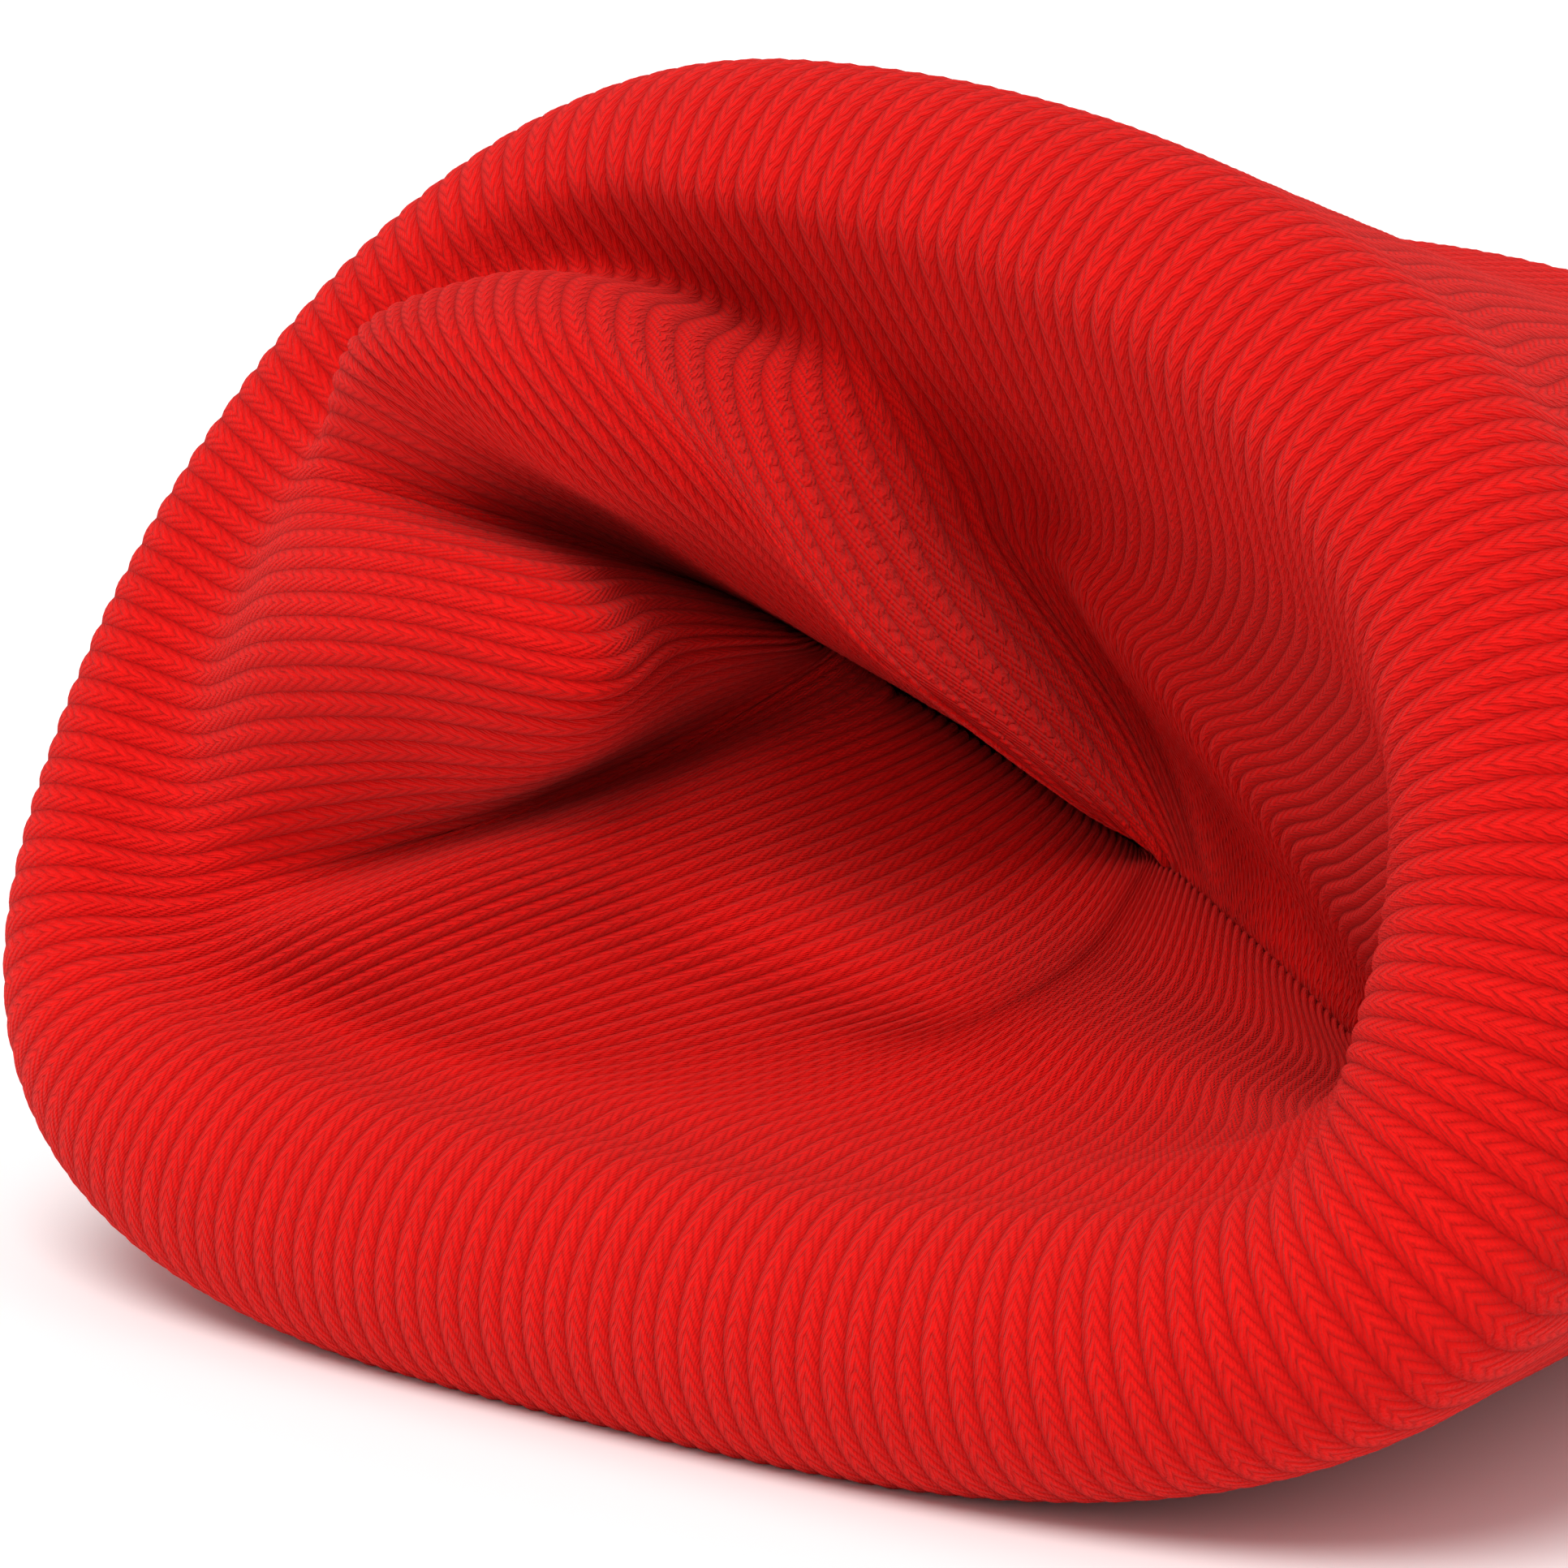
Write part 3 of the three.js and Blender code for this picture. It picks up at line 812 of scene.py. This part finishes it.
def make_camera():
    data = bpy.data.cameras.new("camera")
    camera = bpy.data.objects.new("camera", data)
    bpy.context.scene.collection.objects.link(camera)
    back = look_from(CAMERA_AZIMUTH, CAMERA_ELEVATION)
    camera.location = Vector(CAMERA_AIM) + back * CAMERA_DISTANCE
    camera.rotation_euler = (-back).to_track_quat("-Z", "Y").to_euler()
    data.sensor_width = SENSOR_WIDTH
    data.lens = data.sensor_width * CAMERA_DISTANCE / FRAME_WIDTH
    data.clip_start, data.clip_end = NEAREST, FURTHEST
    bpy.context.scene.camera = camera


def soft_sun(name, azimuth, elevation, spread, strength):
    data = bpy.data.lights.new(name, "SUN")
    data.angle = math.radians(spread)
    data.energy = strength
    light = bpy.data.objects.new(name, data)
    bpy.context.scene.collection.objects.link(light)
    back = look_from(azimuth, elevation)
    light.location = back
    light.rotation_euler = (-back).to_track_quat("-Z", "Y").to_euler()


def make_studio():
    world = bpy.data.worlds.new("studio")
    bpy.context.scene.world = world
    bpy.context.scene.view_settings.view_transform = "Standard"
    world.use_nodes = True
    world.node_tree.nodes["Background"].inputs[0].default_value = (1, 1, 1, 1)
    world.node_tree.nodes["Background"].inputs[1].default_value = SKY_STRENGTH
    soft_sun("key", SUN_AZIMUTH, SUN_ELEVATION, SUN_SPREAD, SUN_STRENGTH)
    mesh = bpy.data.meshes.new("floor")
    corners = [(FLOOR_REACH * x, FLOOR_REACH * y, 0) for x, y in ((-1, -1), (1, -1), (1, 1), (-1, 1))]
    mesh.from_pydata(corners, [], [(0, 1, 2, 3)])
    floor = bpy.data.objects.new("floor", mesh)
    bpy.context.scene.collection.objects.link(floor)
    mesh.materials.append(plain_material("floor_white", (FLOOR_WHITE, FLOOR_WHITE, FLOOR_WHITE)))


# ---------------------------------------------------------------- the pieces

make_camera()
# The knit's second colour is painted shade in its grooves, and also the dark end of its random patches.
knit = knit_material("red_knit", (0.82, 0.008, 0.006), (0.4, 0.001, 0.001))
# The yarn's and the thread's second colours are painted shade in the hollows of their strokes.
yarn = yarn_material("red_yarn", (0.95, 0.03, 0.025), (0.78, 0.015, 0.012), 1500)
thread = yarn_material("red_thread", (0.5, 0.006, 0.006), (0.2, 0.001, 0.001), 3000)


def knitted(coarse, course_steps, facing_row):
    """The fine surface of a grid of stitches, and its normals, which face out."""
    fine = refine_along(refine_around(coarse, WALE_STEPS), course_steps)
    normals = normals_of(fine)
    if normals[int(facing_row * course_steps), 0, 2] > 0:
        normals = -normals
    raised = raised_stitches(fine, normals, course_steps)
    shading = normals_of(raised)
    return raised, shading * np.sign((shading * normals).sum(-1, keepdims=True))


def stands_for(obj, node, body):
    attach(obj, body)
    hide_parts(node)
    return obj


def make_lining_layer():
    coarse, leaves = lining_layer()
    grid, shading = knitted(coarse, COURSE_STEPS, LINING_UNDERSIDE)
    split = int(leaves.mean() / COURSE * COURSE_STEPS)
    cuff = knit_object("turned_cuff", grid[: split + 1], shading[: split + 1], 0, COURSE_STEPS, knit)
    lining = knit_object("bunched_lining", grid[split:], shading[split:], split, COURSE_STEPS, knit)
    stands_for(cuff, "cuff_band", "hat")
    stands_for(lining, "lining", "hat")


def make_outer_layer():
    grid, shading = knitted(outer_layer(), COURSE_STEPS, BODY_UNDERSIDE)
    shell = knit_object("knitted_body", grid, shading, 0, COURSE_STEPS, knit)
    stands_for(shell, "outer_shell", "hat")


def make_pom_pom():
    points, faces = pom_core()
    pieces = [points]
    first = len(points)
    for path, radii, sides, closed in pom_yarn():
        more, quads = tube(path, radii, sides, closed, first)
        pieces.append(more)
        faces += quads
        first += len(more)
    ball = mesh_object("yarn_ball", np.concatenate(pieces), faces, yarn)
    stands_for(ball, "pom_pom", "pom")


def make_tie():
    pom_y = POM_KNOT_Y + POM_RADIUS
    anchor_end = ANCHOR_KNOT_Y + KNOT_RADIUS + 1 + CLEARANCE
    shank = twisted_cord("tie_cord", anchor_end, CROWN_KNOT_Y - KNOT_RADIUS - CLEARANCE, CORD_RADIUS, yarn)
    tails = twisted_cord("cord_tails", POM_KNOT_Y + KNOT_RADIUS + CLEARANCE, pom_y, CORD_RADIUS, yarn)
    binding = thread_ring("binding_turns", pom_y, CROWN_Z, BINDING_RADIUS, CORD_RADIUS, 1, 0, yarn)
    stands_for(shank, "tie_shank", "hat")
    stands_for(tails, "tie_tails", "pom")
    stands_for(binding, "binding_cord", "pom")
    for name, node, body, y, radius in (
        ("inside_knot", "anchor_knot", "hat", ANCHOR_KNOT_Y, KNOT_RADIUS + 1),
        ("crown_knot", "crown_side_knot", "lower_neck", CROWN_KNOT_Y, KNOT_RADIUS),
        ("pom_knot", "pom_side_knot", "upper_neck", POM_KNOT_Y, KNOT_RADIUS),
    ):
        stands_for(overhand_knot(name, y, radius, yarn), node, body)


def make_gather_threads():
    ring = GATHER_RADIUS - 2 * (THREAD_RADIUS + CLEARANCE)
    for name, node, y, z in (
        ("crown_thread", "crown_gather_thread", CROWN_Y - FABRIC / 2, CROWN_Z),
        ("lining_thread", "lining_gather_thread", LINING_END_Y + FABRIC / 2, LINING_END_Z),
    ):
        waved = thread_ring(name, y, z, ring, THREAD_RADIUS, STITCH_WAVES, WAVE_DEPTH, thread)
        stands_for(waved, node, "hat")


make_outer_layer()
make_lining_layer()
make_pom_pom()
make_tie()
make_gather_threads()
make_studio()
